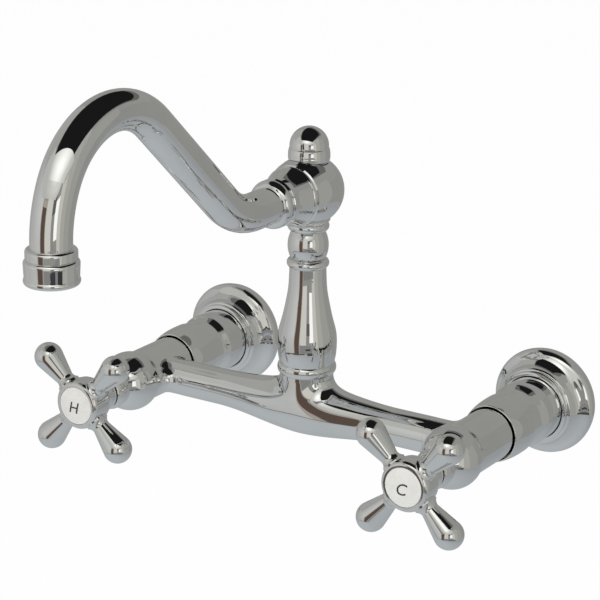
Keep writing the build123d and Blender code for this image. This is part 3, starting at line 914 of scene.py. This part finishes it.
@dataclass
class IndexLetters:
    """Fired letters on the two porcelain buttons, upright when the valves are closed.

    Attributes:
        height: Height of a letter.
        cap_share: Height of a capital over the font's size.
        slant: Lean of the letters.
        lift: Height of a letter's middle layer over the glaze.
        thickness: Thickness of the enamel.
        offset: Place on the button, rightwards and up.
        dome_margin: Width of the button's flat rim outside its dome.
        dome_rise: Height of the dome.
        curve_steps: Fineness of the letters' curves.
        cuts: Cuts of each edge, so that the letters can follow the dome.
    """

    height: float = 0.0062
    cap_share: float = 0.70
    slant: float = 0.22
    lift: float = 0.00006
    thickness: float = 0.00012
    offset: Pair = (-0.0008, -0.0010)
    dome_margin: float = 0.0008
    dome_rise: float = 0.0009
    curve_steps: int = 8
    cuts: int = 2

    def _letter(self, side: Side) -> Object:
        """Mesh of one letter, laid on its button's dome.

        Args:
            side: The valve.

        Returns:
            The letter's object.
        """
        curve = bpy.data.curves.new(f"{side.word}_letter_curve", "FONT")
        curve.body = side.name[0]
        curve.size = self.height / self.cap_share
        curve.shear = self.slant
        curve.align_x = "CENTER"
        curve.align_y = "CENTER"
        curve.extrude = self.thickness / 2
        curve.resolution_u = self.curve_steps
        holder = add_object("letter_holder", curve)
        bpy.context.view_layer.update()
        mesh = bpy.data.meshes.new_from_object(holder)
        bpy.data.objects.remove(holder)
        mesh.name = f"{side.word}_letter"
        low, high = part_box(f"{side.word}_index_button")
        form = bmesh.new()
        form.from_mesh(mesh)
        bmesh.ops.remove_doubles(form, verts=form.verts, dist=MERGE_GAP)
        bmesh.ops.triangulate(form, faces=form.faces)
        bmesh.ops.subdivide_edges(form, edges=form.edges, cuts=self.cuts)
        rim = (high.x - low.x) / 2 - self.dome_margin
        sphere = (rim ** 2 + self.dome_rise ** 2) / (2 * self.dome_rise)
        bmesh.ops.translate(form, vec=(*self.offset, 0.0), verts=form.verts)
        for corner in form.verts:
            drop = sphere - sqrt(sphere ** 2 - corner.co.x ** 2 - corner.co.y ** 2)
            corner.co.z += self.lift - drop
        turn = Matrix.Rotation(radians(90), 4, "X")
        spot = Matrix.Translation((side.value * INLET_REACH, low.y, 0.0))
        bmesh.ops.transform(form, matrix=spot @ turn, verts=form.verts)
        bmesh.ops.recalc_face_normals(form, faces=form.faces)
        form.to_mesh(mesh)
        form.free()
        return add_object(mesh.name, mesh)

    def build(self, finishes: Finishes) -> None:
        """Make both letters.

        Args:
            finishes: The built finishes.
        """
        for side in Side:
            piece = self._letter(side)
            finishes.dress(piece, "ink")
            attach(piece, f"{side.word}_handle")
            log.info("made %s", piece.name)


@dataclass
class PhotoCamera:
    """Camera at the photograph's place, solved from the flanges and the inlet spacing.

    Attributes:
        turn_deg: Angle to the cold side of straight ahead.
        height_deg: Angle above the level.
        roll_deg: Roll about the line of sight.
        distance: Distance from the point it looks at.
        aim: The point it looks at.
        focal_px: Focal length in pixels of the photograph.
        image_px: Width of the photograph.
        sensor_mm: Width of the sensor.
        clip: Nearest and farthest distance seen.
    """

    turn_deg: float = 32.73
    height_deg: float = 17.89
    roll_deg: float = 0.59
    distance: float = 1.2859
    aim: Place = (-0.014, -0.070, 0.0532)
    focal_px: float = 2393.0
    image_px: float = 600.0
    sensor_mm: float = 36.0
    clip: Pair = (0.05, 50.0)

    def build(self) -> None:
        """Make the camera and set it as the scene's."""
        turn, height = radians(self.turn_deg), radians(self.height_deg)
        back = Vector((sin(turn) * cos(height), -cos(turn) * cos(height), sin(height)))
        place = Vector(self.aim) + back * self.distance
        right = (-back).cross(Vector((0, 0, 1))).normalized()
        up = back.cross(right)
        roll = radians(self.roll_deg)
        right, up = right * cos(roll) + up * sin(roll), up * cos(roll) - right * sin(roll)
        data = bpy.data.cameras.new("photo_camera")
        data.sensor_fit = "HORIZONTAL"
        data.sensor_width = self.sensor_mm
        data.lens = self.focal_px / self.image_px * self.sensor_mm
        data.clip_start, data.clip_end = self.clip
        camera = add_object("photo_camera", data)
        turned = Matrix((right, up, back)).transposed().to_4x4()
        camera.matrix_world = Matrix.Translation(place) @ turned
        bpy.context.scene.camera = camera


@dataclass(frozen=True)
class Glow:
    """Brighter round patch on a card, soft at its edge.

    Attributes:
        centre: Middle of the patch.
        inner: Radius of its full brightness.
        outer: Radius where it has faded out.
        strength: Its brightness, where the card's own is 1.
    """

    centre: Place
    inner: float
    outer: float
    strength: float

    def join(self, sheet: NodeSheet, coordinate: Socket) -> Socket:
        """Brightness that the patch adds.

        Args:
            sheet: Sheet of the card's material.
            coordinate: Place on the card.

        Returns:
            The added strength, 0 outside the patch.
        """
        reach = sheet.add("VectorMath", operation="DISTANCE")
        reach.inputs[1].default_value = self.centre
        sheet.join(coordinate, reach.inputs[0])
        return sheet.remap(reach.outputs["Value"], self.inner, self.outer, self.strength - 1.0, 0.0)


@dataclass(frozen=True)
class Set:
    """Something that only the chrome reflects, hidden from the camera and from matt surfaces.

    Attributes:
        name: Name of the object.
        colour: Emitted colour.
        glows: Brighter patches.
    """

    name: str
    colour: Colour
    glows: tuple[Glow, ...] = ()

    def form(self) -> BMesh:
        """Shape of the object."""
        raise NotImplementedError

    def build(self) -> None:
        """Make the object and put it in the studio."""
        piece = mesh_object(self.name, self.form())
        material = bpy.data.materials.new(self.name)
        material.use_nodes = True
        sheet = NodeSheet(material.node_tree)
        light = sheet.add("Emission", {"Color": (*self.colour, 1.0)})
        if self.glows:
            coordinate = sheet.place()
            strength: Socket | float = 1.0
            for glow in self.glows:
                strength = sheet.math("ADD", glow.join(sheet, coordinate), strength)
            sheet.join(strength, light.inputs["Strength"])
        sheet.show(light.outputs["Emission"])
        piece.data.materials.append(material)
        piece.visible_camera = False
        piece.visible_diffuse = False
        piece.visible_shadow = False
        log.info("set up %s", self.name)


@dataclass(frozen=True)
class Disc(Set):
    """Level round card.

    Attributes:
        height: Height of the card.
        radius: Its radius.
    """

    height: float = 0.0
    radius: float = 1.0

    def form(self) -> BMesh:
        """Shape of the card.

        Returns:
            The form.
        """
        form = bmesh.new()
        bmesh.ops.create_circle(form, cap_ends=True, segments=ROUND_STEPS,
                                radius=self.radius)
        bmesh.ops.translate(form, vec=(0, 0, self.height), verts=form.verts)
        return form


@dataclass(frozen=True)
class Card(Set):
    """Level card with four corners close above the faucet.

    Attributes:
        height: Height of the card.
        left: X of the left edge, in front and behind.
        right: X of the right edge, in front and behind.
        front: Y of the front edge, at its left and right end.
        back: Y of the back edge, at its left and right end.
    """

    height: float = 0.4
    left: Pair = (-0.1, -0.1)
    right: Pair = (0.1, 0.1)
    front: Pair = (-0.1, -0.1)
    back: Pair = (0.1, 0.1)

    def form(self) -> BMesh:
        """Shape of the card.

        Returns:
            The form.
        """
        form = bmesh.new()
        bmesh.ops.create_grid(form, x_segments=1, y_segments=1, size=1.0)
        for corner in form.verts:
            ahead, rightward = corner.co.y < 0, corner.co.x > 0
            across = self.right if rightward else self.left
            along = self.front if ahead else self.back
            corner.co = (across[0 if ahead else 1], along[1 if rightward else 0], self.height)
        return form


@dataclass(frozen=True)
class Panel(Set):
    """Part of the room's round wall, placed by the direction in which the faucet sees it.

    Attributes:
        first: Azimuth where it starts, from straight ahead towards the cold side, in degrees.
        last: Azimuth where it ends.
        low: Elevation of its lower edge in degrees.
        high: Elevation of its upper edge.
        radius: Distance from the faucet.
        step: Width of one flat part of its curve in degrees.
    """

    first: float = 0.0
    last: float = 10.0
    low: float = -20.0
    high: float = 20.0
    radius: float = 1.7
    step: float = 5.0

    def form(self) -> BMesh:
        """Shape of the panel.

        Returns:
            The form.
        """
        form = bmesh.new()
        ends = [form.verts.new((0.0, -self.radius, self.radius * tan(radians(rise))))
                for rise in (self.low, self.high)]
        edge = form.edges.new(ends)
        turn = Matrix.Rotation(radians(self.first), 3, "Z")
        bmesh.ops.rotate(form, cent=(0, 0, 0), matrix=turn, verts=ends)
        sweep = self.last - self.first
        bmesh.ops.spin(form, geom=[*ends, edge], cent=(0, 0, 0), axis=(0, 0, 1),
                       dvec=(0, 0, 0), angle=radians(sweep),
                       steps=max(2, round(sweep / self.step)), use_merge=sweep >= FULL_TURN)
        bmesh.ops.translate(form, vec=STUDIO_EYE, verts=form.verts)
        return form


@dataclass
class Studio:
    """Pale floor and white surroundings, with a room of cards that only the chrome reflects.

    Attributes:
        floor_height: Height of the floor.
        floor_radius: Its radius.
        floor_colour: Its colour.
        floor_white: Share of plain white in what the eye sees of it.
        overhead: Height of the cards above the faucet.
        lamp_place: Place of the lamp.
        lamp_size: Its width.
        lamp_power: Its power in watts.
        wall: Distance of the wall's panels.
        trim: Distance of the panels in front of them.
    """

    floor_height: float = -0.62
    floor_radius: float = 9.0
    floor_colour: Colour = (0.90, 0.90, 0.90)
    floor_white: float = 0.85
    overhead: float = 0.40
    lamp_place: Place = (0.45, -1.1, 1.2)
    lamp_size: float = 0.5
    lamp_power: float = 6.0
    wall: float = 1.42
    trim: float = 1.38

    def _white_for_sight(self, sheet: NodeSheet) -> Socket:
        """1 for rays that look at the background, straight or by reflection, and 0 for light.

        Args:
            sheet: Sheet of the floor's material.

        Returns:
            The mask.
        """
        ray = sheet.add("LightPath")
        seen = sheet.math("MAXIMUM", ray.outputs["Is Camera Ray"], ray.outputs["Is Glossy Ray"])
        return sheet.math("MAXIMUM", seen, ray.outputs["Is Transmission Ray"])

    def _floor(self) -> None:
        """Plain pale floor well below the faucet, white but for the faucet's faint shadow."""
        form = bmesh.new()
        bmesh.ops.create_circle(form, cap_ends=True, segments=ROUND_STEPS,
                                radius=self.floor_radius)
        bmesh.ops.translate(form, vec=(0, 0, self.floor_height), verts=form.verts)
        floor = mesh_object("studio_floor", form)
        material = bpy.data.materials.new("pale_floor")
        material.use_nodes = True
        sheet = NodeSheet(material.node_tree)
        matt = sheet.add("BsdfDiffuse", {"Color": (*self.floor_colour, 1.0)})
        white = sheet.add("Emission")
        mix = sheet.add("MixShader")
        seen = sheet.math("MULTIPLY", self._white_for_sight(sheet), self.floor_white)
        sheet.join(seen, mix.inputs["Fac"])
        sheet.join(matt.outputs["BSDF"], mix.inputs[1])
        sheet.join(white.outputs["Emission"], mix.inputs[2])
        sheet.show(mix.outputs["Shader"])
        floor.data.materials.append(material)

    def _world(self) -> None:
        """White surroundings at full strength."""
        world = bpy.data.worlds.new("studio_world")
        world.use_nodes = True
        sheet = NodeSheet(world.node_tree)
        light = sheet.add("Background", {"Color": (1.0, 1.0, 1.0, 1.0)})
        sheet.show(light.outputs["Background"], "OutputWorld")
        bpy.context.scene.world = world

    def _lamp(self) -> None:
        """Soft square lamp that gives the porcelain its light and the floor its shadow."""
        data = bpy.data.lights.new("soft_lamp", "AREA")
        data.size = self.lamp_size
        data.energy = self.lamp_power
        lamp = add_object("soft_lamp", data)
        lamp.rotation_mode = "QUATERNION"
        towards = Vector(self.lamp_place) - Vector(STUDIO_EYE)
        lamp.rotation_quaternion = towards.to_track_quat("Z", "Y")
        lamp.location = self.lamp_place
        lamp.visible_glossy = False

    def _room(self) -> list[Set]:
        """Walls, floor and ceiling of the room in the reflections.

        Returns:
            The pieces of the room.
        """
        wall, trim = self.wall, self.trim
        bright_left = Glow((-0.56, -1.30, 0.30), 0.1, 1.0, 1.28)
        bright_floor = Glow((-0.3, -0.6, -0.61), 0.4, 1.7, 1.42)
        return [
            Disc("room_floor", (0.355, 0.375, 0.39), (bright_floor,), -0.61, 1.9),
            Disc("room_ceiling", (0.16, 0.16, 0.155), (), 3.1, 3.2),
            Panel("wall_round", (0.32, 0.32, 0.305), (), -180, 180, -25, 21, 1.5),
            Panel("upper_round", (0.34, 0.34, 0.32), (), -180, 180, 20, 62, 1.5),
            Panel("upper_left", (0.42, 0.42, 0.40), (), -118, -62, 21, 55, wall),
            Panel("upper_front", (0.55, 0.55, 0.52), (), -62, 62, 21, 45, wall),
            Panel("upper_right", (0.45, 0.45, 0.42), (), 62, 104, 20, 42, wall),
            Panel("wall_far_left", (0.43, 0.43, 0.415), (), -122, -84, -25, 21, wall),
            Panel("wall_left", (0.50, 0.505, 0.49), (bright_left,), -84, -17, -25, 21, wall),
            Panel("door_frame", (0.42, 0.38, 0.33), (), -20, 4, -25, 19, 1.41),
            Panel("doorway", (0.115, 0.082, 0.068), (), -17, 1, -25, 15, trim),
            Panel("wall_warm", (0.70, 0.685, 0.63), (), 4, 29, -11, 24, wall),
            Panel("cupboard", (0.30, 0.295, 0.285), (), 29, 42, -11, 9, wall),
            Panel("cupboard_top", (0.13, 0.13, 0.128), (), 30, 43, 9, 19, trim),
            Panel("window", (1.15, 1.15, 1.12), (), 42, 57, -6, 15, wall),
            Panel("wall_lit", (0.62, 0.61, 0.56), (), 57, 74, -16, 21, wall),
            Panel("wall_right", (0.45, 0.445, 0.405), (), 74, 96, -25, 21, wall),
            Panel("wall_shade", (0.38, 0.38, 0.355), (), 96, 132, -25, 30, wall),
            Panel("bench", (0.26, 0.26, 0.255), (), 6, 66, -23, -12, trim),
            Panel("bench_shadow", (0.055, 0.055, 0.058), (), 27, 46, -19.2, -16.9, 1.355),
            Panel("bench_shadow_right", (0.045, 0.045, 0.045), (), 55, 74, -19.4, -17.3, 1.355),
            Panel("skirting", (0.11, 0.10, 0.09), (), -62, 24, -24.6, -23.2, 1.36),
            Panel("skirting_dark", (0.07, 0.075, 0.07), (), 34, 84, -25.6, -22.6, 1.36),
        ]

    def _overhead(self) -> list[Set]:
        """The dark cards close above the faucet and the lit panel in front of them.

        Returns:
            The cards.
        """
        spot = (0.105, -0.50, self.overhead)
        wash = (0.25, -0.64, self.overhead)
        patches = (Glow(spot, 0.05, 0.27, 2.0), Glow(spot, 0.012, 0.03, 3.0),
                   Glow(wash, 0.08, 0.50, 1.45))
        return [
            Card("black_card", (0.012, 0.011, 0.012), (), self.overhead,
                 (-0.155, -0.165), (0.345, 0.165), (-0.441, -0.345), (0.12, 0.12)),
            Card("shaded_card", (0.15, 0.15, 0.145), (), self.overhead + 0.002,
                 (-0.17, -0.18), (0.34, 0.19), (-0.40, -0.32), (0.22, 0.22)),
            Card("light_panel", (0.54, 0.54, 0.51), patches, self.overhead,
                 (-0.55, -0.55), (0.60, 0.60), (-1.00, -1.00), (-0.517, -0.296)),
        ]

    def build(self) -> None:
        """Make the studio."""
        self._floor()
        self._world()
        for piece in (*self._room(), *self._overhead()):
            piece.build()
        self._lamp()


def main() -> None:
    """Dress the frame, build the added pieces and set the studio and camera."""
    logging.basicConfig(level=logging.INFO, format="%(name)s: %(message)s")
    PhotoCamera().build()
    finishes = Finishes(Effects())
    FrameDress().build(finishes)
    BridgeSkin().build(finishes)
    WallFittings().build(finishes)
    IndexLetters().build(finishes)
    Studio().build()
    bpy.context.scene.view_settings.view_transform = "Standard"


if __name__ == "__main__":
    main()
